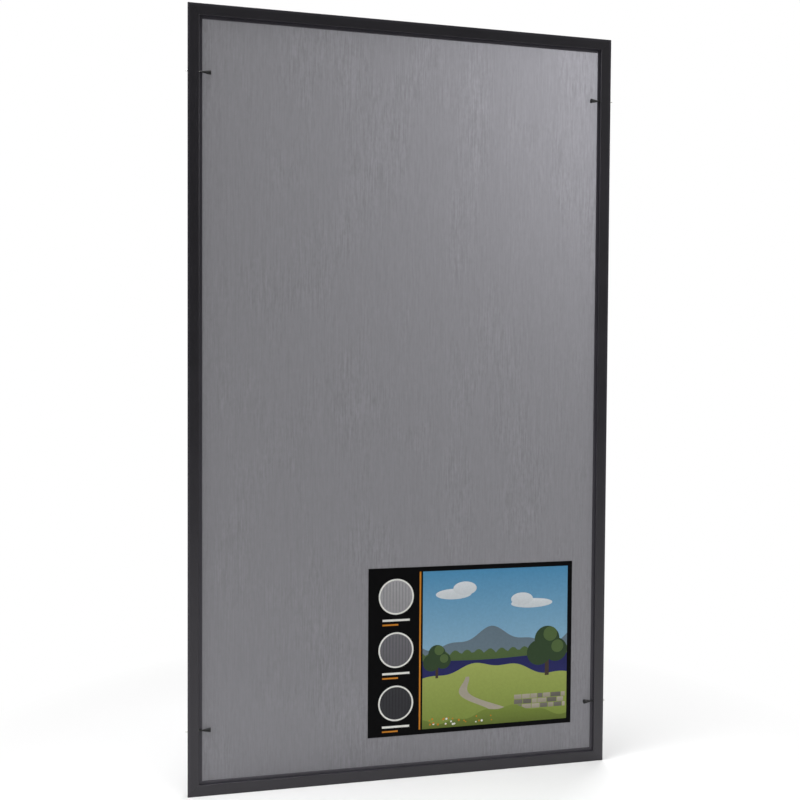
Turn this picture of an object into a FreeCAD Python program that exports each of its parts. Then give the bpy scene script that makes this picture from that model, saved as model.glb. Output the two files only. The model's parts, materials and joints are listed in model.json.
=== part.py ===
"""Window screen: a mitred frame with stretched cloth, held in its window by four sprung plungers.

Millimetres. X runs along the width, Z up, and the front looks along -Y. The origin is at the middle of the
bottom edge, halfway through the frame's thickness.
"""
import FreeCAD
import Part
import math
import os

from FreeCAD import Vector

# Overall size
SCREEN_WIDTH = 794.0
SCREEN_HEIGHT = 1397.0
FRAME_THICKNESS = 9.5
CORNER_RADIUS = 1.5

# Section of the roll-formed members: a hollow box, and a lip set back from its front face
BOX_WIDTH = 20.0
SHEET = 0.6
STEP_DEPTH = 4.0
LIP_WALL = 1.2
LIP_HEIGHT = 2.0
EDGE_RADIUS = 0.9
LIP_RADIUS = 0.5
SEAM_GAP = 0.15
MITRE_GAP = 0.2

# Cloth and the cord that holds it in the groove behind the lip
CLOTH_THICKNESS = 0.6
CLOTH_RIB_PITCH = 4.8
CLOTH_RIB_HEIGHT = 0.15
CLOTH_TRIM = 0.8
SPLINE_DIAMETER = 2.9
SPLINE_CLEARANCE = 0.05
SPLINE_BUTT_GAP = 0.3

# Corner keys inside the hollow members
KEY_LEG_LENGTH = 48.0
KEY_CLEARANCE = 0.15
KEY_TIP_CHAMFER = 2.0
KEY_CORE_WALL = 2.2
KEY_CORE_DEPTH = 4.0
KEY_CORE_COUNT = 3
KEY_RIB = 1.6

# Sprung plungers in the stiles
PLUNGER_FROM_END = 118.0
TIP_REACH = 3.4
TIP_DIAMETER = 2.2
TIP_ROUND = 0.6
GUIDE_DIAMETER = 2.6
GUIDE_REACH = 0.15
COLLAR_DIAMETER = 3.1
COLLAR_LENGTH = 2.0
COLLAR_GAP = 0.1
ROD_DIAMETER = 1.8
RUNNING_CLEARANCE = 0.08
ROD_IN_KNOB = 12.0

KNOB_NECK_DIAMETER = 2.8
KNOB_END_DIAMETER = 8.0
KNOB_REACH = 15.0
KNOB_NECK_PAST_LIP = 0.4
KNOB_FLARE_MID = 0.52
KNOB_RIM = 1.8
KNOB_EDGE = 0.5
KNOB_GAP = 0.4
KNOB_OVER_LIP = 0.2

SPRING_DIAMETER = 2.9
SPRING_WIRE = 0.4
SPRING_TURNS = 10
SPRING_END_GAP = 0.05

# Card on the cloth
LABEL_WIDTH = 402.0
LABEL_HEIGHT = 316.0
LABEL_THICKNESS = 0.4
LABEL_FROM_RIGHT = 66.0
LABEL_FROM_BOTTOM = 78.0

# Places that follow from the sizes above. Depths are measured back from the front face, and reaches are
# measured inwards from the frame's outer edge.
GROOVE_WIDTH = SPLINE_DIAMETER + 2 * (CLOTH_THICKNESS + SPLINE_CLEARANCE)
GROOVE_FLOOR = STEP_DEPTH + SHEET
GROOVE_END = BOX_WIDTH + GROOVE_WIDTH
MEMBER_WIDTH = GROOVE_END + LIP_WALL
LIP_END = GROOVE_FLOOR + LIP_HEIGHT
PIN_DEPTH = STEP_DEPTH - KNOB_OVER_LIP - KNOB_NECK_DIAMETER / 2
COLLAR_START = SHEET + COLLAR_GAP
COLLAR_END = COLLAR_START + COLLAR_LENGTH
KNOB_START = BOX_WIDTH + KNOB_GAP
KNOB_END = MEMBER_WIDTH + KNOB_REACH
LEFT = -SCREEN_WIDTH / 2
RIGHT = SCREEN_WIDTH / 2
FRONT = -FRAME_THICKNESS / 2
CUTTER_MARGIN = FRAME_THICKNESS

ACROSS = Vector(1, 0, 0)
BACKWARD = Vector(0, 1, 0)
UP = Vector(0, 0, 1)
QUARTER_TURN = 90
FULL_TURN = 360


class Side:
    """One edge of the screen: where its middle is, which way is inwards, and how it runs."""

    def __init__(self, middle, inward, along, length):
        self.middle = middle
        self.inward = inward
        self.along = along
        self.length = length

    def point(self, reach, depth, station):
        return self.middle + self.inward * reach + BACKWARD * depth + self.along * station


SIDES = {
    "left": Side(Vector(LEFT, FRONT, SCREEN_HEIGHT / 2), ACROSS, UP, SCREEN_HEIGHT),
    "right": Side(Vector(RIGHT, FRONT, SCREEN_HEIGHT / 2), -ACROSS, UP, SCREEN_HEIGHT),
    "bottom": Side(Vector(0, FRONT, 0), UP, ACROSS, SCREEN_WIDTH),
    "top": Side(Vector(0, FRONT, SCREEN_HEIGHT), -UP, ACROSS, SCREEN_WIDTH),
}

MEMBER_NAMES = {"left": "left_stile", "right": "right_stile", "bottom": "bottom_rail", "top": "top_rail"}


def rounded_wire(corners):
    """Closed wire through (point, radius) corners, each rounded by its radius."""
    ends = []
    for index, (corner, radius) in enumerate(corners):
        before = (corners[index - 1][0] - corner).normalize()
        after = (corners[(index + 1) % len(corners)][0] - corner).normalize()
        half_angle = before.getAngle(after) / 2
        setback = radius / math.tan(half_angle)
        bisector = (before + after).normalize()
        middle = corner + bisector * (radius / math.sin(half_angle) - radius)
        ends.append((corner + before * setback, middle, corner + after * setback, radius))
    edges = []
    for index, (start, middle, end, radius) in enumerate(ends):
        if radius > 0:
            edges.append(Part.Arc(start, middle, end).toShape())
        next_start = ends[(index + 1) % len(ends)][0]
        edges.append(Part.LineSegment(end, next_start).toShape())
    return Part.Wire(edges)


def run_along(side, outline):
    """Extrudes a section, given as (reach, depth, radius) corners, along the whole of one side."""
    start = -side.length / 2
    corners = [(side.point(reach, depth, start), radius) for reach, depth, radius in outline]
    return Part.Face(rounded_wire(corners)).extrude(side.along * side.length)


def mitre_block(side, reach, gap):
    """The space that one side owns, out to its mitres at both ends."""
    half = side.length / 2 - gap / 2 * math.sqrt(2)
    front = -CUTTER_MARGIN
    corners = [
        side.point(0, front, -half),
        side.point(0, front, half),
        side.point(reach, front, half - reach),
        side.point(reach, front, reach - half),
    ]
    face = Part.Face(Part.makePolygon(corners + corners[:1]))
    return face.extrude(BACKWARD * (FRAME_THICKNESS + 2 * CUTTER_MARGIN))


def frame_silhouette():
    """The outer outline of the frame, with its corners rounded, as a block."""
    depth = FRONT - CUTTER_MARGIN
    corners = [
        (Vector(LEFT, depth, 0), CORNER_RADIUS),
        (Vector(RIGHT, depth, 0), CORNER_RADIUS),
        (Vector(RIGHT, depth, SCREEN_HEIGHT), CORNER_RADIUS),
        (Vector(LEFT, depth, SCREEN_HEIGHT), CORNER_RADIUS),
    ]
    face = Part.Face(rounded_wire(corners))
    return face.extrude(BACKWARD * (FRAME_THICKNESS + 2 * CUTTER_MARGIN))


def member_outline():
    """Section of the bent strip, from the lip's free edge round the box to the seam in the groove."""
    inner_edge = EDGE_RADIUS - SHEET
    return [
        (0, 0, EDGE_RADIUS),
        (BOX_WIDTH, 0, EDGE_RADIUS),
        (BOX_WIDTH, STEP_DEPTH, 0),
        (MEMBER_WIDTH, STEP_DEPTH, LIP_RADIUS),
        (MEMBER_WIDTH, LIP_END, LIP_RADIUS),
        (GROOVE_END, LIP_END, LIP_RADIUS),
        (GROOVE_END, GROOVE_FLOOR, 0),
        (BOX_WIDTH - SHEET, GROOVE_FLOOR, 0),
        (BOX_WIDTH - SHEET, SHEET, inner_edge),
        (SHEET, SHEET, inner_edge),
        (SHEET, FRAME_THICKNESS - SHEET, inner_edge),
        (BOX_WIDTH - SHEET, FRAME_THICKNESS - SHEET, inner_edge),
        (BOX_WIDTH - SHEET, GROOVE_FLOOR + SEAM_GAP, 0),
        (BOX_WIDTH, GROOVE_FLOOR + SEAM_GAP, 0),
        (BOX_WIDTH, FRAME_THICKNESS, EDGE_RADIUS),
        (0, FRAME_THICKNESS, EDGE_RADIUS),
    ]


def pin_axis_point(reach):
    """A point on the bottom left plunger's axis."""
    return Vector(LEFT + reach, FRONT + PIN_DEPTH, PLUNGER_FROM_END)


def four_corners(shape):
    """The bottom left shape and its mirrored copies, by corner."""
    middle = Vector(0, 0, SCREEN_HEIGHT / 2)
    raised = shape.mirror(middle, UP)
    return {
        "bottom_left": shape,
        "bottom_right": shape.mirror(Vector(), ACROSS),
        "top_left": raised,
        "top_right": raised.mirror(Vector(), ACROSS),
    }


def plunger_holes():
    """Drills through the outer wall and the step wall, at every plunger."""
    guide_radius = GUIDE_DIAMETER / 2 + RUNNING_CLEARANCE
    rod_radius = ROD_DIAMETER / 2 + RUNNING_CLEARANCE
    middle_reach = BOX_WIDTH / 2
    outer = Part.makeCylinder(guide_radius, middle_reach + SHEET, pin_axis_point(-SHEET), ACROSS)
    inner = Part.makeCylinder(rod_radius, middle_reach + SHEET, pin_axis_point(middle_reach), ACROSS)
    return list(four_corners(outer.fuse(inner)).values())


def frame_member(side, silhouette, holes):
    """One mitred member with its plunger holes."""
    strip = run_along(side, member_outline())
    mitred = strip.common(mitre_block(side, MEMBER_WIDTH, MITRE_GAP)).common(silhouette)
    return mitred.cut(holes)


def cloth_hem_outline():
    """Section of the cloth's edge: over the lip, across the groove's floor and up the box wall."""
    over = MEMBER_WIDTH - LIP_WALL / 2
    trim = FRAME_THICKNESS - CLOTH_TRIM
    inner_floor = GROOVE_FLOOR + CLOTH_THICKNESS
    inner_wall = GROOVE_END - CLOTH_THICKNESS
    bend = LIP_RADIUS + CLOTH_THICKNESS
    return [
        (over, LIP_END, 0),
        (GROOVE_END, LIP_END, LIP_RADIUS),
        (GROOVE_END, GROOVE_FLOOR, 0),
        (BOX_WIDTH, GROOVE_FLOOR, 0),
        (BOX_WIDTH, trim, 0),
        (BOX_WIDTH + CLOTH_THICKNESS, trim, 0),
        (BOX_WIDTH + CLOTH_THICKNESS, inner_floor, 0),
        (inner_wall, inner_floor, 0),
        (inner_wall, LIP_END + CLOTH_THICKNESS, bend),
        (over, LIP_END + CLOTH_THICKNESS, 0),
    ]


def cloth_panel():
    """The stretched, ribbed part of the cloth, out to the middle of the lip."""
    width = SCREEN_WIDTH - 2 * GROOVE_END
    count = round(width / CLOTH_RIB_PITCH)
    half_pitch = width / count / 2
    front = FRONT + LIP_END
    thickness = CLOTH_THICKNESS - CLOTH_RIB_HEIGHT
    bottom = GROOVE_END
    crest_line = []
    for index in range(2 * count + 1):
        setback = CLOTH_RIB_HEIGHT * (index % 2)
        crest_line.append(Vector(LEFT + GROOVE_END + index * half_pitch, front + setback, bottom))
    back_line = [point + BACKWARD * thickness for point in reversed(crest_line)]
    outline = crest_line + back_line
    face = Part.Face(Part.makePolygon(outline + outline[:1]))
    return face.extrude(UP * (SCREEN_HEIGHT - 2 * GROOVE_END))


def screen_cloth():
    """Panel and tucked hem as one sheet."""
    hems = []
    for side in SIDES.values():
        hem = run_along(side, cloth_hem_outline())
        hems.append(hem.common(mitre_block(side, MEMBER_WIDTH, 0)))
    border = hems[0].multiFuse(hems[1:]).removeSplitter()
    return border.fuse(cloth_panel())


def spline_length(side):
    """Cord in one side's groove. The stiles' cords run through, and the others butt on them."""
    reach = BOX_WIDTH + GROOVE_WIDTH / 2
    depth = GROOVE_FLOOR + CLOTH_THICKNESS + SPLINE_CLEARANCE + SPLINE_DIAMETER / 2
    half = side.length / 2 - BOX_WIDTH - CLOTH_THICKNESS - SPLINE_CLEARANCE
    if side.along == ACROSS:
        half -= SPLINE_DIAMETER + SPLINE_BUTT_GAP
    start = side.point(reach, depth, -half)
    return Part.makeCylinder(SPLINE_DIAMETER / 2, 2 * half, start, side.along)


def corner_key():
    """Moulded L for the bottom left corner, with cored legs that fit the hollow members."""
    clear = SHEET + KEY_CLEARANCE
    front = FRONT + clear
    thickness = FRAME_THICKNESS - 2 * clear
    outer = clear
    inner = BOX_WIDTH - clear
    tip = KEY_LEG_LENGTH
    chamfer = KEY_TIP_CHAMFER
    outline = [
        (outer, outer),
        (tip - chamfer, outer),
        (tip, outer + chamfer),
        (tip, inner - chamfer),
        (tip - chamfer, inner),
        (inner, inner),
        (inner, tip - chamfer),
        (inner - chamfer, tip),
        (outer + chamfer, tip),
        (outer, tip - chamfer),
    ]
    points = [Vector(LEFT + x, front, z) for x, z in outline]
    key = Part.Face(Part.makePolygon(points + points[:1])).extrude(BACKWARD * thickness)
    core_start = inner + KEY_CORE_WALL
    core_space = tip - KEY_CORE_WALL - core_start
    core_length = (core_space - (KEY_CORE_COUNT - 1) * KEY_RIB) / KEY_CORE_COUNT
    core_width = inner - outer - 2 * KEY_CORE_WALL
    depth = front + thickness - KEY_CORE_DEPTH
    for index in range(KEY_CORE_COUNT):
        start = core_start + index * (core_length + KEY_RIB)
        across = outer + KEY_CORE_WALL
        level_leg = Vector(LEFT + start, depth, across)
        upright_leg = Vector(LEFT + across, depth, start)
        key = key.cut(Part.makeBox(core_length, KEY_CORE_DEPTH, core_width, level_leg))
        key = key.cut(Part.makeBox(core_width, KEY_CORE_DEPTH, core_length, upright_leg))
    return key


def turned(edges):
    """Solid of revolution about the bottom left plunger's axis."""
    face = Part.Face(Part.Wire(edges))
    return face.revolve(pin_axis_point(0), ACROSS, FULL_TURN)


def profile_point(reach, radius):
    return pin_axis_point(reach) + UP * radius


def profile_lines(stations):
    """Straight edges through (reach, radius) stations."""
    points = [profile_point(reach, radius) for reach, radius in stations]
    return [Part.LineSegment(start, end).toShape() for start, end in zip(points, points[1:])]


def plunger_pin():
    """Steel pin: rounded tip, guide, collar and the rod that carries the knob."""
    tip_radius = TIP_DIAMETER / 2
    rod_end = KNOB_START + ROD_IN_KNOB
    nose_flat = tip_radius - TIP_ROUND
    nose_mid_reach = TIP_ROUND * (1 - math.cos(math.pi / 4)) - TIP_REACH
    nose_mid_radius = nose_flat + TIP_ROUND * math.sin(math.pi / 4)
    nose = Part.Arc(
        profile_point(-TIP_REACH, nose_flat),
        profile_point(nose_mid_reach, nose_mid_radius),
        profile_point(TIP_ROUND - TIP_REACH, tip_radius),
    ).toShape()
    body = profile_lines([
        (TIP_ROUND - TIP_REACH, tip_radius),
        (-GUIDE_REACH, tip_radius),
        (-GUIDE_REACH, GUIDE_DIAMETER / 2),
        (COLLAR_START, GUIDE_DIAMETER / 2),
        (COLLAR_START, COLLAR_DIAMETER / 2),
        (COLLAR_END, COLLAR_DIAMETER / 2),
        (COLLAR_END, ROD_DIAMETER / 2),
        (rod_end, ROD_DIAMETER / 2),
        (rod_end, 0),
        (-TIP_REACH, 0),
        (-TIP_REACH, nose_flat),
    ])
    return turned([nose] + body)


def plunger_knob():
    """Flared pull knob, moulded with a blind bore that is pressed on the rod."""
    neck = KNOB_NECK_DIAMETER / 2
    end_radius = KNOB_END_DIAMETER / 2
    flare_start = MEMBER_WIDTH + KNOB_NECK_PAST_LIP
    flare_end = KNOB_END - KNOB_RIM
    flare_mid_reach = (flare_start + flare_end) / 2
    flare_mid_radius = neck + (end_radius - neck) * KNOB_FLARE_MID
    flare = Part.Arc(
        profile_point(flare_start, neck),
        profile_point(flare_mid_reach, flare_mid_radius),
        profile_point(flare_end, end_radius),
    ).toShape()
    edge_mid_reach = KNOB_END - KNOB_EDGE * (1 - math.sqrt(0.5))
    edge_mid_radius = end_radius - KNOB_EDGE * (1 - math.sqrt(0.5))
    edge = Part.Arc(
        profile_point(KNOB_END - KNOB_EDGE, end_radius),
        profile_point(edge_mid_reach, edge_mid_radius),
        profile_point(KNOB_END, end_radius - KNOB_EDGE),
    ).toShape()
    rim = profile_lines([(flare_end, end_radius), (KNOB_END - KNOB_EDGE, end_radius)])
    bore_end = KNOB_START + ROD_IN_KNOB
    closing = profile_lines([
        (KNOB_END, end_radius - KNOB_EDGE),
        (KNOB_END, 0),
        (bore_end, 0),
        (bore_end, ROD_DIAMETER / 2),
        (KNOB_START, ROD_DIAMETER / 2),
        (KNOB_START, neck),
        (flare_start, neck),
    ])
    return turned([flare] + rim + [edge] + closing)


def plunger_spring():
    """Coil spring round the rod, from the collar to the step wall."""
    wire_radius = SPRING_WIRE / 2
    coil_radius = SPRING_DIAMETER / 2 - wire_radius
    start = COLLAR_END + wire_radius + SPRING_END_GAP
    end = BOX_WIDTH - SHEET - wire_radius - SPRING_END_GAP
    helix = Part.makeHelix((end - start) / SPRING_TURNS, end - start, coil_radius)
    section = Part.Wire(Part.makeCircle(wire_radius, Vector(coil_radius, 0, 0), Vector(0, 1, 0)))
    coil = Part.Wire(helix).makePipeShell([section], True, True)
    coil.rotate(Vector(), BACKWARD, QUARTER_TURN)
    coil.translate(pin_axis_point(start))
    return coil


def label_card():
    """Card that lies flat against the front of the cloth."""
    corner = Vector(
        RIGHT - LABEL_FROM_RIGHT - LABEL_WIDTH,
        FRONT + LIP_END - LABEL_THICKNESS,
        LABEL_FROM_BOTTOM,
    )
    return Part.makeBox(LABEL_WIDTH, LABEL_THICKNESS, LABEL_HEIGHT, corner)


def build_parts():
    """Every piece of the screen, by node name."""
    parts = {}
    silhouette = frame_silhouette()
    holes = plunger_holes()
    for name, side in SIDES.items():
        parts[MEMBER_NAMES[name]] = frame_member(side, silhouette, holes)
        parts["spline_" + name] = spline_length(side)
    parts["screen_cloth"] = screen_cloth()
    parts["label_card"] = label_card()
    makers = {
        "corner_key": corner_key,
        "pin": plunger_pin,
        "knob": plunger_knob,
        "spring": plunger_spring,
    }
    for kind, maker in makers.items():
        for corner, shape in four_corners(maker()).items():
            parts[kind + "_" + corner] = shape
    return parts


def main():
    os.makedirs("parts", exist_ok=True)
    for name, shape in build_parts().items():
        print(name, "solids", len(shape.Solids), "valid", shape.isValid(), "volume", round(shape.Volume, 2))
        shape.exportStep(os.path.join("parts", name + ".step"))


main()
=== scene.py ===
"""Dresses the window screen: painted frame, woven solar cloth, printed card, studio light and camera.

Metres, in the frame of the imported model. X runs across, Z up, and the front looks along -Y.
"""

import json
import math
import random

import bpy
from mathutils import Color, Matrix, Vector
from mathutils.geometry import delaunay_2d_cdt


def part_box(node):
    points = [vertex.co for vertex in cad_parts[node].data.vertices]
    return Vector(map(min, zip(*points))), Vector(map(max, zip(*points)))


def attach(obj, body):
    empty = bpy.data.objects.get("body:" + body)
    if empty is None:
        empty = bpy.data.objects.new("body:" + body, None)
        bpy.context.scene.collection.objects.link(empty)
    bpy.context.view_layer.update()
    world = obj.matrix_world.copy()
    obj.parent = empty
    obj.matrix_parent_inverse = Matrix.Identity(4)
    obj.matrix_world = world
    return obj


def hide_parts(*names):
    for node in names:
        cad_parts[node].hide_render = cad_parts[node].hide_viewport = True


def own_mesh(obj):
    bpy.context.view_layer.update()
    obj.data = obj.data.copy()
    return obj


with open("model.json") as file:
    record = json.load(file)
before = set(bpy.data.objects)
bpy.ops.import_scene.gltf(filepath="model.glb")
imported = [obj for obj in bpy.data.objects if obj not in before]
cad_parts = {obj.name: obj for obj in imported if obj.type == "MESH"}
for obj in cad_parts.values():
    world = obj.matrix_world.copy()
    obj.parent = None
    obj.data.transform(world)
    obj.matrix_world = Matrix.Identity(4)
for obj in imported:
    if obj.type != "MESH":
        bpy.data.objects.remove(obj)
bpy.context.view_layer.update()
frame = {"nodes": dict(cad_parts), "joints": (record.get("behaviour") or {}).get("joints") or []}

MM = 0.001
SEED = 11
SCREEN_LEVELS = 255

# Sizes that repeat the source of the part. Reaches run inwards from the frame's outer edges, and depths run
# back from its front face.
OUTER_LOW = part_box("left_stile")[0]
OUTER_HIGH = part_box("right_stile")[1]
CLOTH_REACH = 24.7 * MM
CLOTH_DEPTH = 6.9 * MM
LIP_BEND = 0.8 * MM
GROOVE_FLOOR = 4.9 * MM
GROOVE_WALL = 20.3 * MM
HEM_END = 8.7 * MM


def colour(red, green, blue):
    """A colour given in screen values from 0 to 255, as linear light."""
    shares = [level / SCREEN_LEVELS for level in (red, green, blue)]
    return (*Color(shares).from_srgb_to_scene_linear(), 1.0)


def scaled(shade, factor):
    """A colour made lighter or darker."""
    return (*(part * factor for part in shade[:3]), 1.0)


# Nodes that the materials share. A noise has lines without change through its start, so it starts well away
# from the model. Most of its values lie between NOISE_LOW and NOISE_HIGH. At scale 1, a wave texture turns
# by WAVE_TURN radians in a metre.
NOISE_START = (3.37, 1.43, 5.71)
NOISE_DETAIL = 2.0
NOISE_LOW = 0.3
NOISE_HIGH = 0.7
WAVE_TURN = 20.0


def new_material(name):
    """A node material, its tree and its Principled shader."""
    material = bpy.data.materials.new(name)
    material.use_nodes = True
    tree = material.node_tree
    return material, tree, tree.nodes["Principled BSDF"]


def noise(tree, grain):
    """Noise with grains of about that size along X, Y and Z, in metres."""
    place = tree.nodes.new("ShaderNodeTexCoord")
    mapping = tree.nodes.new("ShaderNodeMapping")
    texture = tree.nodes.new("ShaderNodeTexNoise")
    mapping.inputs["Location"].default_value = NOISE_START
    mapping.inputs["Scale"].default_value = [1 / size for size in grain]
    texture.inputs["Scale"].default_value = 1.0
    texture.inputs["Detail"].default_value = NOISE_DETAIL
    tree.links.new(place.outputs["Object"], mapping.inputs["Vector"])
    tree.links.new(mapping.outputs["Vector"], texture.inputs["Vector"])
    return texture.outputs["Fac"]


def even_noise(tree, size):
    """Noise with grains of one size in all directions."""
    return noise(tree, (size, size, size))


def waves(tree, direction, pitch):
    """Sine bands across X, Y or Z, a pitch apart in metres."""
    place = tree.nodes.new("ShaderNodeTexCoord")
    texture = tree.nodes.new("ShaderNodeTexWave")
    texture.bands_direction = direction
    texture.wave_profile = "SIN"
    texture.inputs["Scale"].default_value = 2 * math.pi / WAVE_TURN / pitch
    texture.inputs["Distortion"].default_value = 0.0
    tree.links.new(place.outputs["Object"], texture.inputs["Vector"])
    return texture.outputs["Fac"]


def spread(tree, value, low, high, start=NOISE_LOW, end=NOISE_HIGH):
    """Takes start to end of a value, such as a noise, to low to high."""
    node = tree.nodes.new("ShaderNodeMapRange")
    node.inputs["From Min"].default_value = start
    node.inputs["From Max"].default_value = end
    node.inputs["To Min"].default_value = low
    node.inputs["To Max"].default_value = high
    tree.links.new(value, node.inputs["Value"])
    return node.outputs["Result"]


def graded(tree, mask, low, high):
    """Takes 0 to 1 of a mask to low to high."""
    return spread(tree, mask, low, high, 0.0, 1.0)


def rising(tree, value, start, end):
    """0 up to start, and 1 from end on."""
    return spread(tree, value, 0.0, 1.0, start, end)


def falling(tree, value, start, end):
    """1 up to start, and 0 from end on."""
    return spread(tree, value, 1.0, 0.0, start, end)


def combined(tree, operation, first, second):
    """One Math node on two values."""
    node = tree.nodes.new("ShaderNodeMath")
    node.operation = operation
    tree.links.new(first, node.inputs[0])
    tree.links.new(second, node.inputs[1])
    return node.outputs["Value"]


def place_parts(tree):
    """Outputs X, Y and Z with a point's place on its object."""
    place = tree.nodes.new("ShaderNodeTexCoord")
    parts = tree.nodes.new("ShaderNodeSeparateXYZ")
    tree.links.new(place.outputs["Object"], parts.inputs["Vector"])
    return parts.outputs


def shaded(tree, shade, factor):
    """A colour, or a colour output, times a value that varies over the surface."""
    node = tree.nodes.new("ShaderNodeVectorMath")
    node.operation = "SCALE"
    if isinstance(shade, bpy.types.NodeSocket):
        tree.links.new(shade, node.inputs[0])
    else:
        node.inputs[0].default_value = shade[:3]
    tree.links.new(factor, node.inputs["Scale"])
    return node.outputs["Vector"]


def dress(tree, shader, base, shine, specular):
    """Gives a shader its colour and roughness, which vary, and its specular level."""
    tree.links.new(base, shader.inputs["Base Color"])
    tree.links.new(shine, shader.inputs["Roughness"])
    shader.inputs["Specular IOR Level"].default_value = specular


def add_bump(tree, shader, height, distance, strength=1.0):
    """Bump of that height in metres on the shader's normal."""
    node = tree.nodes.new("ShaderNodeBump")
    node.inputs["Strength"].default_value = strength
    node.inputs["Distance"].default_value = distance
    tree.links.new(height, node.inputs["Height"])
    tree.links.new(node.outputs["Normal"], shader.inputs["Normal"])


def mix_shaders(tree, share, first, second, output="Material Output"):
    """Shows a share of the second shader and the rest of the first. The share is a number or varies."""
    node = tree.nodes.new("ShaderNodeMixShader")
    if isinstance(share, bpy.types.NodeSocket):
        tree.links.new(share, node.inputs["Fac"])
    else:
        node.inputs["Fac"].default_value = share
    tree.links.new(first, node.inputs[1])
    tree.links.new(second, node.inputs[2])
    tree.links.new(node.outputs["Shader"], tree.nodes[output].inputs["Surface"])


# Frame paint. In all the materials, tones multiply the colour and shines are roughness. Here the clouds and
# the specks give half of the roughness each.
PAINT = colour(23, 22, 26)
PAINT_CLOUD = 60 * MM
PAINT_SPECK = 1.5 * MM
PAINT_PEEL = 1.1 * MM
PAINT_PEEL_HEIGHT = 0.01 * MM
PAINT_TONES = (0.9, 1.1)
PAINT_SHINES = (0.17, 0.2)
PAINT_SPECULAR = 0.65
PAINT_TINT = (0.97, 0.94, 1.0, 1.0)

# Where the step's paint starts, as a reach from the outer edges and as depths from the face, and where the
# painted highlight along the outer edges ends
STEP_REACH = 19.5 * MM
STEP_BLUR = 0.3 * MM
STEP_SHALLOW = 0.4 * MM
STEP_DEEP = 1.2 * MM
EDGE_HIGHLIGHT_FULL = 2.8 * MM
EDGE_HIGHLIGHT_END = 5.0 * MM

# Roughness on the step, and painted highlights on the step and along the outer edges, against the paint on
# the face
STEP_DULL = 0.12
STEP_PAINTED_HIGHLIGHT = 3.4
EDGE_PAINTED_HIGHLIGHT = 2.4


def in_the_step(tree):
    """1 on the step along the frame's inner edge and on the paint behind it, and 0 elsewhere."""
    parts = place_parts(tree)
    front = OUTER_LOW.y
    mask = rising(tree, parts["Y"], front + STEP_SHALLOW, front + STEP_DEEP)
    for name, low, high in (("X", OUTER_LOW.x, OUTER_HIGH.x), ("Z", OUTER_LOW.z, OUTER_HIGH.z)):
        start = low + STEP_REACH
        end = high - STEP_REACH
        after_start = rising(tree, parts[name], start - STEP_BLUR, start)
        before_end = falling(tree, parts[name], end, end + STEP_BLUR)
        mask = combined(tree, "MULTIPLY", mask, combined(tree, "MULTIPLY", after_start, before_end))
    return mask


def edge_highlight_mask(tree):
    """1 along the frame's outer edges at the sides and the top, where a highlight is painted, and 0
    elsewhere.
    """
    parts = place_parts(tree)
    left = OUTER_LOW.x
    mask = falling(tree, parts["X"], left + EDGE_HIGHLIGHT_FULL, left + EDGE_HIGHLIGHT_END)
    for name, end in (("X", OUTER_HIGH.x), ("Z", OUTER_HIGH.z)):
        side = rising(tree, parts[name], end - EDGE_HIGHLIGHT_END, end - EDGE_HIGHLIGHT_FULL)
        mask = combined(tree, "MAXIMUM", mask, side)
    return mask


def frame_paint():
    """Baked charcoal enamel: satin, faint orange peel, duller in the step, with painted highlights on step
    and edges.
    """
    material, tree, shader = new_material("frame_paint")
    clouds = even_noise(tree, PAINT_CLOUD)
    specks = even_noise(tree, PAINT_SPECK)
    step = in_the_step(tree)
    shine = combined(tree, "ADD", spread(tree, clouds, *PAINT_SHINES), spread(tree, specks, *PAINT_SHINES))
    shine = combined(tree, "ADD", shine, graded(tree, step, 0.0, STEP_DULL))
    tone = spread(tree, clouds, *PAINT_TONES)
    # Painted highlights: the step and the outer edges are painted paler, where the lip and the rounded edges
    # catch light
    for mask, paler in ((step, STEP_PAINTED_HIGHLIGHT), (edge_highlight_mask(tree), EDGE_PAINTED_HIGHLIGHT)):
        tone = combined(tree, "MULTIPLY", tone, graded(tree, mask, 1.0, paler))
    dress(tree, shader, shaded(tree, PAINT, tone), shine, PAINT_SPECULAR)
    shader.inputs["Specular Tint"].default_value = PAINT_TINT
    add_bump(tree, shader, even_noise(tree, PAINT_PEEL), PAINT_PEEL_HEIGHT)
    return material


# Solar cloth. The grains of its noises run across, through and up the cloth, and threads and slubs add up to
# its streaks.
CLOTH_TONE = colour(109, 108, 113)
CLOTH_GLOW = colour(170, 169, 177)
CLOTH_ALPHA = 0.92
CLOTH_THIN = 0.25
CLOTH_SHINES = (0.78, 0.62)
CLOTH_SPECULAR = 0.3
CLOTH_SHEEN = 0.08
CLOTH_SHEEN_SHINE = 0.5
YARN_PITCH = 1.24 * MM
YARN_TONES = (0.86, 1.42)
WEAVE_HEIGHT = 0.05 * MM
WEAVE_STRENGTH = 0.5
THREAD_GRAIN = (1.9 * MM, 1.0, 34 * MM)
THREAD_RANGE = (-0.028, 0.028)
SLUB_GRAIN = (3.4 * MM, 1.0, 9 * MM)
SLUB_RANGE = (-0.016, 0.016)
PATCH_GRAIN = (70 * MM, 1.0, 160 * MM)
PATCH_SHARES = (0.4, 1.0)
PATCH_LIMITS = (0.45, 0.65)
STREAK_LIMITS = (-0.1, 0.1)
STREAK_TONES = (0.93, 1.07)
STREAK_GLOWS = (0.2, 1.8)
WEFT_GRAIN = (40 * MM, 1.0, 2.4 * MM)
WEFT_TONES = (0.992, 1.008)


def cloth_streaks(tree):
    """Upright streaks round 0, stronger in some patches of the cloth than in others."""
    threads = spread(tree, noise(tree, THREAD_GRAIN), *THREAD_RANGE)
    slubs = spread(tree, noise(tree, SLUB_GRAIN), *SLUB_RANGE)
    patches = spread(tree, noise(tree, PATCH_GRAIN), *PATCH_SHARES, *PATCH_LIMITS)
    return combined(tree, "MULTIPLY", combined(tree, "ADD", threads, slubs), patches)


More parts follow.
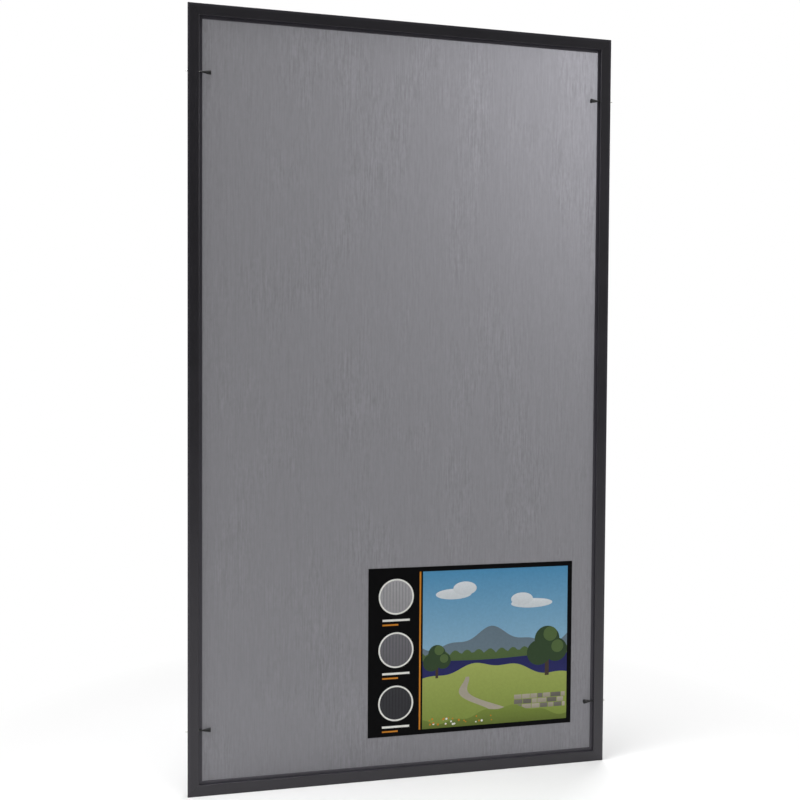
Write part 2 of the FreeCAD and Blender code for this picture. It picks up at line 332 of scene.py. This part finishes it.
def solar_cloth():
    """Vinyl-coated polyester: upright yarns over a finer weft, with streaks and a slight see-through."""
    material, tree, shader = new_material("solar_cloth")
    streaks = cloth_streaks(tree)
    weft = spread(tree, noise(tree, WEFT_GRAIN), *WEFT_TONES)
    weave = combined(tree, "MULTIPLY", waves(tree, "X", YARN_PITCH), waves(tree, "Z", YARN_PITCH / 2))
    tone = combined(tree, "MULTIPLY", spread(tree, streaks, *STREAK_TONES, *STREAK_LIMITS), weft)
    tone = combined(tree, "MULTIPLY", tone, graded(tree, weave, *YARN_TONES))
    shine = graded(tree, weave, *CLOTH_SHINES)
    dress(tree, shader, shaded(tree, CLOTH_TONE, tone), shine, CLOTH_SPECULAR)
    add_bump(tree, shader, weave, WEAVE_HEIGHT, WEAVE_STRENGTH)
    shader.inputs["Sheen Weight"].default_value = CLOTH_SHEEN
    shader.inputs["Sheen Roughness"].default_value = CLOTH_SHEEN_SHINE
    shader.inputs["Alpha"].default_value = CLOTH_ALPHA
    through = tree.nodes.new("ShaderNodeBsdfTranslucent")
    gaps = spread(tree, streaks, *STREAK_GLOWS, *STREAK_LIMITS)
    tree.links.new(shaded(tree, CLOTH_GLOW, gaps), through.inputs["Color"])
    mix_shaders(tree, CLOTH_THIN, shader.outputs["BSDF"], through.outputs["BSDF"])
    return material


# Moulded plastic, vinyl and steel
KNOB_BLACK = colour(11, 11, 12)
KNOB_SHINE = 0.5
KEY_GREY = colour(48, 48, 50)
KEY_SHINE = 0.55
PLASTIC_GRAIN = 0.35 * MM
PLASTIC_GRAIN_HEIGHT = 0.02 * MM
PLASTIC_FLOW = (6 * MM, 2 * MM, 2 * MM)
PLASTIC_TONES = (0.85, 1.15)
PLASTIC_SHINE_RANGE = 0.08
PLASTIC_SPECULAR = 0.4
VINYL = colour(40, 40, 42)
VINYL_RING_PITCH = 1.3 * MM
VINYL_RING_HEIGHT = 0.06 * MM
VINYL_DUST = 9 * MM
VINYL_TONES = (0.8, 1.2)
VINYL_SHINES = (0.5, 0.66)
VINYL_SPECULAR = 0.35
PIN_STEEL = colour(196, 196, 192)
PIN_SHINE = 0.3
SPRING_STEEL = colour(150, 150, 150)
SPRING_SHINE = 0.35
STEEL_MARKS = (0.12 * MM, 4 * MM, 4 * MM)
STEEL_MARK_HEIGHT = 0.006 * MM
STEEL_STAIN = 2.5 * MM
STEEL_TONES = (0.88, 1.08)
STEEL_SHINE_RANGE = 0.07
STEEL_SPECULAR = 0.5


def moulded_plastic(name, shade, roughness):
    """Moulded plastic with a fine spark-eroded grain."""
    material, tree, shader = new_material(name)
    grain = even_noise(tree, PLASTIC_GRAIN)
    tone = spread(tree, noise(tree, PLASTIC_FLOW), *PLASTIC_TONES)
    shine = spread(tree, grain, roughness - PLASTIC_SHINE_RANGE, roughness + PLASTIC_SHINE_RANGE)
    dress(tree, shader, shaded(tree, shade, tone), shine, PLASTIC_SPECULAR)
    add_bump(tree, shader, grain, PLASTIC_GRAIN_HEIGHT)
    return material


def spline_vinyl():
    """Soft vinyl cord with the fine rings that help it grip the groove."""
    material, tree, shader = new_material("spline_vinyl")
    rings = combined(tree, "ADD", *(waves(tree, axis, VINYL_RING_PITCH) for axis in ("X", "Z")))
    dust = even_noise(tree, VINYL_DUST)
    tone = spread(tree, dust, *VINYL_TONES)
    dress(tree, shader, shaded(tree, VINYL, tone), spread(tree, dust, *VINYL_SHINES), VINYL_SPECULAR)
    add_bump(tree, shader, rings, VINYL_RING_HEIGHT)
    return material


def turned_steel(name, shade, roughness):
    """Plated steel with fine turning marks round the pin."""
    material, tree, shader = new_material(name)
    marks = noise(tree, STEEL_MARKS)
    tone = spread(tree, even_noise(tree, STEEL_STAIN), *STEEL_TONES)
    shine = spread(tree, marks, roughness - STEEL_SHINE_RANGE, roughness + STEEL_SHINE_RANGE)
    dress(tree, shader, shaded(tree, shade, tone), shine, STEEL_SPECULAR)
    shader.inputs["Metallic"].default_value = 1.0
    add_bump(tree, shader, marks, STEEL_MARK_HEIGHT)
    return material


# Card and ink
CARD = colour(6, 6, 7)
CARD_FIBRES = (0.8 * MM, 0.8 * MM, 3 * MM)
CARD_FIBRE_HEIGHT = 0.01 * MM
CARD_TONES = (0.85, 1.15)
CARD_SHINES = (0.5, 0.6)
CARD_SPECULAR = 0.06
INK = "ink"
INK_MOTTLE = 5 * MM
INK_TONES = (0.97, 1.03)
INK_SPECULAR = 0.15


def card_stock():
    """Coated black card under the print."""
    material, tree, shader = new_material("card_stock")
    fibres = noise(tree, CARD_FIBRES)
    tone = spread(tree, fibres, *CARD_TONES)
    dress(tree, shader, shaded(tree, CARD, tone), spread(tree, fibres, *CARD_SHINES), CARD_SPECULAR)
    add_bump(tree, shader, fibres, CARD_FIBRE_HEIGHT)
    return material


def card_ink():
    """Print in the colours that the mesh carries, with a fine paper grain."""
    material, tree, shader = new_material("card_ink")
    ink = tree.nodes.new("ShaderNodeVertexColor")
    ink.layer_name = INK
    fibres = noise(tree, CARD_FIBRES)
    mottle = spread(tree, even_noise(tree, INK_MOTTLE), *INK_TONES)
    tone = combined(tree, "MULTIPLY", spread(tree, fibres, *INK_TONES), mottle)
    base = shaded(tree, ink.outputs["Color"], tone)
    dress(tree, shader, base, spread(tree, fibres, *CARD_SHINES), INK_SPECULAR)
    add_bump(tree, shader, fibres, CARD_FIBRE_HEIGHT)
    return material


def paint_nodes(material, *starts):
    """Gives a material to every CAD node whose name starts so."""
    for name, node in frame["nodes"].items():
        if name.startswith(starts):
            node.data.materials.clear()
            node.data.materials.append(material)


# Form of the cloth. Its yarns run upright, so it needs few rows.
YARN_HEIGHT = 0.16 * MM
YARN_WANDER = 0.16
YARN_UNEVEN = 0.5
CLOTH_ROWS = 36
LIP_BEND_STEPS = 4


def hem_stations():
    """(reach, depth) stations of the hem: round the lip, across the groove's floor and up the box wall."""
    centre_depth = CLOTH_DEPTH - LIP_BEND
    stations = []
    for step in range(LIP_BEND_STEPS + 1):
        angle = math.pi / 2 * step / LIP_BEND_STEPS
        reach = CLOTH_REACH - LIP_BEND * math.sin(angle)
        stations.append((reach, centre_depth + LIP_BEND * math.cos(angle)))
    groove_end = stations[-1][0]
    return stations + [(groove_end, GROOVE_FLOOR), (GROOVE_WALL, GROOVE_FLOOR), (GROOVE_WALL, HEM_END)]


def hem_length(stations):
    """How much cloth goes into the hem of one side."""
    return sum(math.dist(start, end) for start, end in zip(stations, stations[1:]))


def panel_rows(low, high):
    """Heights of the panel's rows, with a short first and last row so that the yarns keep their form."""
    short = YARN_PITCH
    inner = [low + short + (high - low - 2 * short) * row / CLOTH_ROWS for row in range(CLOTH_ROWS + 1)]
    return [low] + inner + [high]


def panel_columns(low, high, chance):
    """Places of the yarns' crests and of the valleys between them, a little uneven."""
    count = 2 * round((high - low) / YARN_PITCH)
    step = (high - low) / count
    columns = [low + index * step for index in range(count + 1)]
    for index in range(1, count):
        columns[index] += step * YARN_WANDER * chance.uniform(-1, 1)
    return columns


def panel_points(columns, rows, chance):
    """Points of the panel, row by row: valleys and crests of uneven height, and flat along its edges."""
    points = []
    for row, z in enumerate(rows):
        for column, x in enumerate(columns):
            at_edge = column in (0, len(columns) - 1) or row in (0, len(rows) - 1)
            rise = YARN_HEIGHT / 2 * (1 - YARN_UNEVEN * chance.random())
            if column % 2:
                rise = -rise
            depth = CLOTH_DEPTH + (0 if at_edge else rise)
            points.append((x, OUTER_LOW.y + depth, z))
    return points


def panel_border(last_column, last_row):
    """(column, row) all round the panel's edge."""
    border = [(column, 0) for column in range(last_column)]
    border += [(last_column, row) for row in range(last_row)]
    border += [(column, last_row) for column in range(last_column, 0, -1)]
    border += [(0, row) for row in range(last_row, 0, -1)]
    return border


def hem_place(places, index, low, high, reach):
    """Where a point of the hem lies: at the hem's reach where the panel ends, or else as in the panel."""
    if index == 0:
        return low + reach
    if index == len(places) - 1:
        return high - reach
    return places[index]


def cloth_mesh():
    """One sheet: a panel of fine upright yarns with a hem round it. Also gives the cut size."""
    chance = random.Random(SEED)
    stations = hem_stations()
    columns = panel_columns(OUTER_LOW.x + CLOTH_REACH, OUTER_HIGH.x - CLOTH_REACH, chance)
    rows = panel_rows(OUTER_LOW.z + CLOTH_REACH, OUTER_HIGH.z - CLOTH_REACH)
    points = panel_points(columns, rows, chance)
    across = len(columns)
    faces = []
    for row in range(len(rows) - 1):
        for column in range(across - 1):
            first = row * across + column
            faces.append([first, first + 1, first + across + 1, first + across])

    border = panel_border(across - 1, len(rows) - 1)
    inner = [row * across + column for column, row in border]
    for reach, depth in stations[1:]:
        outer = range(len(points), len(points) + len(border))
        for column, row in border:
            x = hem_place(columns, column, OUTER_LOW.x, OUTER_HIGH.x, reach)
            z = hem_place(rows, row, OUTER_LOW.z, OUTER_HIGH.z, reach)
            points.append((x, OUTER_LOW.y + depth, z))
        for step in range(len(border)):
            after = (step + 1) % len(border)
            faces.append([outer[step], outer[after], inner[after], inner[step]])
        inner = outer

    mesh = bpy.data.meshes.new("cloth")
    mesh.from_pydata(points, [], faces)
    mesh.shade_smooth()
    hem = 2 * hem_length(stations)
    return mesh, (columns[-1] - columns[0] + hem, rows[-1] - rows[0] + hem)


def add_piece(name, mesh, material):
    """A piece of the object that rides on the frame."""
    piece = bpy.data.objects.new(name, mesh)
    bpy.context.scene.collection.objects.link(piece)
    mesh.materials.clear()
    mesh.materials.append(material)
    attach(piece, "frame")
    return piece


def plunger_springs(material):
    """Each spring as a piece of its own, carried by the frame."""
    for joint in frame["joints"]:
        place = joint["name"].removeprefix("plunger_").removesuffix("_slide")
        node = "spring_" + place
        piece = add_piece("coil_" + place, frame["nodes"][node].data.copy(), material)
        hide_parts(node)
        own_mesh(piece)


# Card print: a plain landscape beside a column of cloth swatches, all in simple shapes. Places on the card
# run from its lower left corner, in millimetres.
INK_GAP = 0.03 * MM
INSIDE_ONLY = 1
MERGE_WITHIN = 0.001
CURVE_STEPS = 60
ROUND_STEPS = 40

WHITE = colour(236, 236, 230)
ORANGE = colour(208, 132, 40)
NAVY = colour(38, 40, 92)
SKY_HIGH = colour(82, 148, 190)
SKY_LOW = colour(176, 208, 222)
CLOUD = colour(226, 232, 236)
RIDGE = colour(104, 122, 134)
WOOD = colour(52, 72, 46)
WOOD_LIGHT = colour(84, 106, 62)
MEADOW = colour(128, 146, 66)
MEADOW_LIGHT = colour(166, 178, 96)
STONE = colour(178, 170, 154)
STONE_DARK = colour(122, 118, 110)
TRUNK = colour(70, 58, 48)

# How much lighter or darker a shape is at its foot than at its top, and the far end of the path than the
# near one
CLOUD_FOOT = 0.86
RIDGE_FOOT = 1.3
LAKE_FOOT = 1.6
VERGE_FOOT = 0.6
STONE_FOOT = 0.8
SWATCH_FOOT = 0.85
PATH_FAR = 0.9

# Picture panel as (left, bottom, right, top), clouds as (across, up, width, height), trees as (across, up,
# size), and the swells of the ground as (height, length, shift)
PANEL = (104, 9, 393, 307)
CLOUDS = ((164, 262, 70, 20), (186, 272, 46, 26), (320, 238, 84, 18), (300, 247, 44, 24))
TREES = ((352, 96, 82), (132, 104, 54))
RIDGE_LEVEL = 176
RIDGE_SWELLS = ((16, 210, 0.1), (6, 84, 0.4))
WOOD_LEVEL = 146
WOOD_TOPS = (9, 23, 0.2)
LAKE_LEVEL = 136
LAKE_SWELLS = ((2, 300, 0.0),)
MEADOW_LEVEL = 112
MEADOW_SWELLS = ((14, 330, 0.55), (4, 90, 0.0))
VERGE_LEVEL = 30
VERGE_SWELLS = ((11, 260, 0.2), (3, 60, 0.5))
PATH_TOP = 103
PATH_NEAR = 250
PATH_DRIFT = -66
PATH_SWING = 34
PATH_BENDS = 1.1
PATH_WIDTHS = (62, 7)
PATH_TAPER = 0.6

# Parts of a tree as shares of its size: trunk as (width, height), and crowns as (shift, rise, width)
TRUNK_SHARE = (0.1, 0.5)
CROWNS = ((-0.2, 0.55, 0.6), (0.22, 0.6, 0.56), (0.0, 0.86, 0.62))
LIT_CROWNS = ((0.26, 0.68, 0.3), (0.08, 0.98, 0.34))

# Stone wall as (left, bottom, right), and flowers in an area as (left, bottom, right, top)
STONE_WALL = (286, 34, 391)
STONE_COURSES = 3
STONE_HEIGHT = 8.5
STONE_LENGTHS = (11, 22)
STONE_JOINT = 1.2
STONE_INKS = (STONE, STONE, STONE_DARK)
STONE_TONES = (0.8, 1.1)
BLOOMS = 26
BLOOM_AREA = (110, 14, 246, 27)
BLOOM_SIZES = (2.4, 4.4)
WHITE_BLOOM_EVERY = 3

# Column of swatches, with a rule as (left, bottom, right, top), and bars as the ink and the same from the
# middle of a swatch
RULE = (97.5, 9, 100.5, 307)
SWATCH_TONES = (colour(168, 167, 170), colour(112, 111, 116), colour(58, 58, 62))
SWATCH_MIDDLE = 53
SWATCH_TOP = 262
SWATCH_STEP = 100
SWATCH_SIZE = 61
SWATCH_RING = 6
STRIPES = 4
STRIPE_PITCH = 6
STRIPE_WIDTH = 2
STRIPE_TONE = 0.72
BARS = ((WHITE, -26, -46, 26, -42), (ORANGE, -26, -54, 4, -51))


def box_shape(left, bottom, right, top):
    """Corners of an upright rectangle."""
    return [(left, bottom), (right, bottom), (right, top), (left, top)]


def round_shape(across, up, width, height):
    """An ellipse round a middle point."""
    turns = [2 * math.pi * step / ROUND_STEPS for step in range(ROUND_STEPS)]
    return [(across + width / 2 * math.cos(turn), up + height / 2 * math.sin(turn)) for turn in turns]


def swell_height(across, swells):
    """How high a rolling line stands over its level."""
    return sum(size * math.sin(2 * math.pi * (across / length + shift)) for size, length, shift in swells)


def canopy_height(across, tops):
    """How high a line of round tree tops stands over its level."""
    size, length, shift = tops
    return size * abs(math.sin(math.pi * (across / length + shift)))


def ground_shape(level, height, form):
    """From a line across the panel down to the panel's bottom."""
    left, bottom, right = PANEL[:3]
    places = [left + (right - left) * step / CURVE_STEPS for step in range(CURVE_STEPS + 1)]
    line = [(place, level + height(place, form)) for place in places]
    return [(left, bottom), (right, bottom)] + line[::-1]


def path_shape():
    """A winding path that narrows as it goes away."""
    bottom = PANEL[1]
    near_width, far_width = PATH_WIDTHS
    left_side, right_side = [], []
    for step in range(CURVE_STEPS + 1):
        share = step / CURVE_STEPS
        swing = PATH_SWING * math.sin(2 * math.pi * PATH_BENDS * share) * (1 - PATH_TAPER * share)
        middle = PATH_NEAR + PATH_DRIFT * share + swing
        half = (near_width + (far_width - near_width) * share ** PATH_TAPER) / 2
        up = bottom + (PATH_TOP - bottom) * share
        left_side.append((middle - half, up))
        right_side.append((middle + half, up))
    return right_side + left_side[::-1]


def even(ink, outline):
    """A shape in one colour. Shapes are (colour at the top, colour at the bottom, outline)."""
    return ink, ink, outline


def tree_shapes(across, up, size):
    """A round tree: trunk, crown and the lit side of the crown."""
    half_width, height = TRUNK_SHARE[0] * size / 2, TRUNK_SHARE[1] * size
    shapes = [even(TRUNK, box_shape(across - half_width, up, across + half_width, up + height))]
    for ink, crowns in ((WOOD, CROWNS), (WOOD_LIGHT, LIT_CROWNS)):
        for shift, rise, share in crowns:
            crown = round_shape(across + shift * size, up + rise * size, share * size, share * size)
            shapes.append(even(ink, crown))
    return shapes


def wall_shapes(chance):
    """A dry stone wall: courses of stones of uneven length and tone."""
    left, bottom, right = STONE_WALL
    shortest, longest = STONE_LENGTHS
    shapes = []
    for course in range(STONE_COURSES):
        low = bottom + course * (STONE_HEIGHT + STONE_JOINT)
        start = left
        while start < right - shortest / 2:
            end = min(start + chance.uniform(shortest, longest), right)
            tone = scaled(chance.choice(STONE_INKS), chance.uniform(*STONE_TONES))
            stone = box_shape(start, low, end - STONE_JOINT, low + STONE_HEIGHT)
            shapes.append((tone, scaled(tone, STONE_FOOT), stone))
            start = end
    return shapes


def bloom_shapes(chance):
    """Flowers on the verge."""
    left, bottom, right, top = BLOOM_AREA
    shapes = []
    for bloom in range(BLOOMS):
        size = chance.uniform(*BLOOM_SIZES)
        place = round_shape(chance.uniform(left, right), chance.uniform(bottom, top), size, size)
        shapes.append(even(ORANGE if bloom % WHITE_BLOOM_EVERY else WHITE, place))
    return shapes


def picture_shapes(chance):
    """The landscape, from the back to the front."""
    ridge = ground_shape(RIDGE_LEVEL, swell_height, RIDGE_SWELLS)
    wood = ground_shape(WOOD_LEVEL, canopy_height, WOOD_TOPS)
    lake = ground_shape(LAKE_LEVEL, swell_height, LAKE_SWELLS)
    meadow = ground_shape(MEADOW_LEVEL, swell_height, MEADOW_SWELLS)
    verge = ground_shape(VERGE_LEVEL, swell_height, VERGE_SWELLS)
    shapes = [(SKY_HIGH, SKY_LOW, box_shape(*PANEL))]
    for cloud in CLOUDS:
        shapes.append((CLOUD, scaled(CLOUD, CLOUD_FOOT), round_shape(*cloud)))
    shapes.append((RIDGE, scaled(RIDGE, RIDGE_FOOT), ridge))
    shapes.append((WOOD_LIGHT, WOOD, wood))
    shapes.append((NAVY, scaled(NAVY, LAKE_FOOT), lake))
    shapes.append((MEADOW_LIGHT, MEADOW, meadow))
    shapes.append((scaled(STONE, PATH_FAR), STONE, path_shape()))
    for tree in TREES:
        shapes += tree_shapes(*tree)
    shapes += wall_shapes(chance)
    shapes.append((MEADOW, scaled(MEADOW, VERGE_FOOT), verge))
    return shapes + bloom_shapes(chance)


def column_shapes():
    """Round cloth swatches with short bars beneath them, and a rule beside them."""
    shapes = [even(ORANGE, box_shape(*RULE))]
    middle = SWATCH_MIDDLE
    ring = SWATCH_SIZE + SWATCH_RING
    for place, tone in enumerate(SWATCH_TONES):
        up = SWATCH_TOP - SWATCH_STEP * place
        shapes.append(even(WHITE, round_shape(middle, up, ring, ring)))
        swatch = round_shape(middle, up, SWATCH_SIZE, SWATCH_SIZE)
        shapes.append((tone, scaled(tone, SWATCH_FOOT), swatch))
        for stripe in range(-STRIPES, STRIPES + 1):
            across = middle + STRIPE_PITCH * stripe
            half = math.sqrt((SWATCH_SIZE / 2) ** 2 - (STRIPE_PITCH * stripe) ** 2) - STRIPE_WIDTH
            line = box_shape(across - STRIPE_WIDTH / 2, up - half, across + STRIPE_WIDTH / 2, up + half)
            shapes.append(even(scaled(tone, STRIPE_TONE), line))
        for ink, left, bottom, right, top in BARS:
            shapes.append(even(ink, box_shape(middle + left, up + bottom, middle + right, up + top)))
    return shapes


def print_mesh():
    """The print as one flat sheet on the card, cut along every outline. The last shape at a place shows."""
    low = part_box("label_card")[0]
    shapes = picture_shapes(random.Random(SEED)) + column_shapes()
    corners, rings = [], []
    for _, _, outline in shapes:
        rings.append(range(len(corners), len(corners) + len(outline)))
        corners += [Vector(place) for place in outline]
    places, _, faces, _, _, covers = delaunay_2d_cdt(corners, [], rings, INSIDE_ONLY, MERGE_WITHIN)
    mesh = bpy.data.meshes.new("print")
    points = [(low.x + place.x * MM, low.y - INK_GAP, low.z + place.y * MM) for place in places]
    mesh.from_pydata(points, [], faces)
    inks = mesh.color_attributes.new(INK, "FLOAT_COLOR", "CORNER")
    for face, cover in zip(mesh.polygons, covers):
        top_ink, bottom_ink, outline = shapes[max(cover)]
        heights = [up for _, up in outline]
        bottom, top = min(heights), max(heights)
        for loop in face.loop_indices:
            share = (places[mesh.loops[loop].vertex_index].y - bottom) / (top - bottom)
            inks.data[loop].color = [a * share + b * (1 - share) for a, b in zip(top_ink, bottom_ink)]
    return mesh


# Studio. The floor goes over into white between two distances from the origin, SHADOW_NEAR and SHADOW_FAR.
# The wall grows paler between two places along X, counted from its middle: painted light, brighter towards
# +X.
WHITE_LIGHT = (1, 1, 1, 1)
WORLD_FILL = 0.14
FLOOR_SIZE = 40.0
FLOOR_SHADE = 0.93
SHADOW_NEAR = 0.45
SHADOW_FAR = 0.95
WALL_PLACE = (0.8, -2.7, 2.5)
WALL_TURN = (math.radians(90), 0, 0)
WALL_SIZE = (9.0, 5.0)
WALL_SHADE = 0.36
WALL_TONES = (1.0, 1.8)
WALL_LIMITS = (-0.5, 0.7)


def matt_material(name, shade):
    """A plain grey material without gloss, its tree and its shader."""
    material, tree, shader = new_material(name)
    shader.inputs["Base Color"].default_value = (shade, shade, shade, 1)
    shader.inputs["Roughness"].default_value = 1.0
    shader.inputs["Specular IOR Level"].default_value = 0.0
    return material, tree, shader


def plane(name, width, height, material):
    """A flat stage piece, lying level round the origin."""
    mesh = bpy.data.meshes.new(name)
    x, y = width / 2, height / 2
    mesh.from_pydata([(-x, -y, 0), (x, -y, 0), (x, y, 0), (-x, y, 0)], [], [(0, 1, 2, 3)])
    mesh.materials.append(material)
    piece = bpy.data.objects.new(name, mesh)
    bpy.context.scene.collection.objects.link(piece)
    return piece


def looked_at(tree):
    """1 for a ray that looks at the background, straight, in a mirror or through glass, and 0 for others."""
    ray = tree.nodes.new("ShaderNodeLightPath")
    clear = combined(tree, "SUBTRACT", ray.outputs["Is Transmission Ray"], ray.outputs["Is Diffuse Ray"])
    seen = combined(tree, "MAXIMUM", ray.outputs["Is Camera Ray"], ray.outputs["Is Glossy Ray"])
    return combined(tree, "MAXIMUM", seen, clear)


def studio_floor():
    """Pale floor that takes the object's shadow, and goes over into the white background away from it."""
    material, tree, shader = matt_material("studio_floor", FLOOR_SHADE)
    white = tree.nodes.new("ShaderNodeEmission")
    place = tree.nodes.new("ShaderNodeTexCoord")
    away = tree.nodes.new("ShaderNodeVectorMath")
    away.operation = "LENGTH"
    tree.links.new(place.outputs["Object"], away.inputs[0])
    far = rising(tree, away.outputs["Value"], SHADOW_NEAR, SHADOW_FAR)
    share = combined(tree, "MULTIPLY", far, looked_at(tree))
    mix_shaders(tree, share, shader.outputs["BSDF"], white.outputs["Emission"])
    plane("studio_floor", FLOOR_SIZE, FLOOR_SIZE, material)


def studio_wall():
    """Grey wall behind the camera, painted paler along +X to stand for more light there, which the frame
    mirrors.
    """
    material, tree, shader = matt_material("studio_wall", WALL_SHADE)
    tone = spread(tree, place_parts(tree)["X"], *WALL_TONES, *WALL_LIMITS)
    grey = shader.inputs["Base Color"].default_value
    tree.links.new(shaded(tree, grey, tone), shader.inputs["Base Color"])
    wall = plane("studio_wall", *WALL_SIZE, material)
    wall.location = WALL_PLACE
    wall.rotation_euler = WALL_TURN
    wall.visible_camera = False


def studio_world():
    """White to look at, straight or in a mirror, and a plain fill for everything else."""
    world = bpy.data.worlds.new("studio")
    bpy.context.scene.world = world
    world.use_nodes = True
    tree = world.node_tree
    fill = tree.nodes["Background"]
    fill.inputs["Strength"].default_value = WORLD_FILL
    fill.inputs["Color"].default_value = WHITE_LIGHT
    white = tree.nodes.new("ShaderNodeBackground")
    white.inputs["Color"].default_value = WHITE_LIGHT
    background = white.outputs["Background"]
    mix_shaders(tree, looked_at(tree), fill.outputs["Background"], background, "World Output")


# Lamps as (name, place, point they look at, size, power in watts, spread in degrees)
LAMPS = (
    ("overhead_softbox", (-0.3, -0.2, 3.2), (-0.3, -0.2, 0.0), 0.8, 10.9, 80),
    ("left_softbox", (-1.9, -0.51, 2.08), (0.0, 0.0, 0.7), 0.9, 18, 180),
    ("right_softbox", (2.12, -0.58, 1.65), (0.0, 0.0, 0.7), 1.1, 23.5, 180),
    ("back_softbox", (0.61, 0.52, 1.47), (0.3, 0.0, 1.2), 0.6, 12, 180),
    ("low_softbox", (-1.1, -0.3, 0.3), (-0.35, -0.1, 0.0), 0.4, 1.8, 180),
)


def softbox(name, place, target, size, power, spread_angle):
    """A square area lamp that looks at a point and keeps its light within an angle."""
    lamp = bpy.data.lights.new(name, "AREA")
    lamp.shape = "SQUARE"
    lamp.size = size
    lamp.energy = power
    lamp.spread = math.radians(spread_angle)
    holder = bpy.data.objects.new(name, lamp)
    holder.location = place
    aim = Vector(target) - Vector(place)
    holder.rotation_euler = aim.to_track_quat("-Z", "Y").to_euler()
    holder.visible_camera = False
    bpy.context.scene.collection.objects.link(holder)


# Camera, where the photo was taken from
EYE = Vector((-0.40876, -1.72248, 0.75633))
LOOK = Vector((0.22344189, 0.97430147, -0.02846684))
CAMERA_UP = Vector((0.000274, 0.02914, 0.99958))
LENS = 43.06
SENSOR = 36.0


def photo_camera():
    """A camera at the photo's viewing angle."""
    data = bpy.data.cameras.new("camera")
    data.lens = LENS
    data.sensor_width = SENSOR
    data.sensor_fit = "HORIZONTAL"
    camera = bpy.data.objects.new("camera", data)
    back = -LOOK.normalized()
    right = CAMERA_UP.cross(back).normalized()
    turn = Matrix((right, back.cross(right), back)).transposed()
    camera.matrix_world = Matrix.Translation(EYE) @ turn.to_4x4()
    bpy.context.scene.collection.objects.link(camera)
    bpy.context.scene.camera = camera


paint_nodes(frame_paint(), "left_stile", "right_stile", "top_rail", "bottom_rail")
paint_nodes(spline_vinyl(), "spline_")
paint_nodes(moulded_plastic("knob_plastic", KNOB_BLACK, KNOB_SHINE), "knob_")
paint_nodes(moulded_plastic("key_plastic", KEY_GREY, KEY_SHINE), "corner_key_")
paint_nodes(turned_steel("pin_steel", PIN_STEEL, PIN_SHINE), "pin_")
paint_nodes(card_stock(), "label_card")

cloth_form, cut_size = cloth_mesh()
cloth = add_piece("solar_cloth", cloth_form, solar_cloth())
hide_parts("screen_cloth")
add_piece("card_print", print_mesh(), card_ink())
plunger_springs(turned_steel("spring_steel", SPRING_STEEL, SPRING_SHINE))

studio_floor()
studio_wall()
studio_world()
for lamp in LAMPS:
    softbox(*lamp)
photo_camera()
bpy.context.scene.view_settings.view_transform = "Standard"
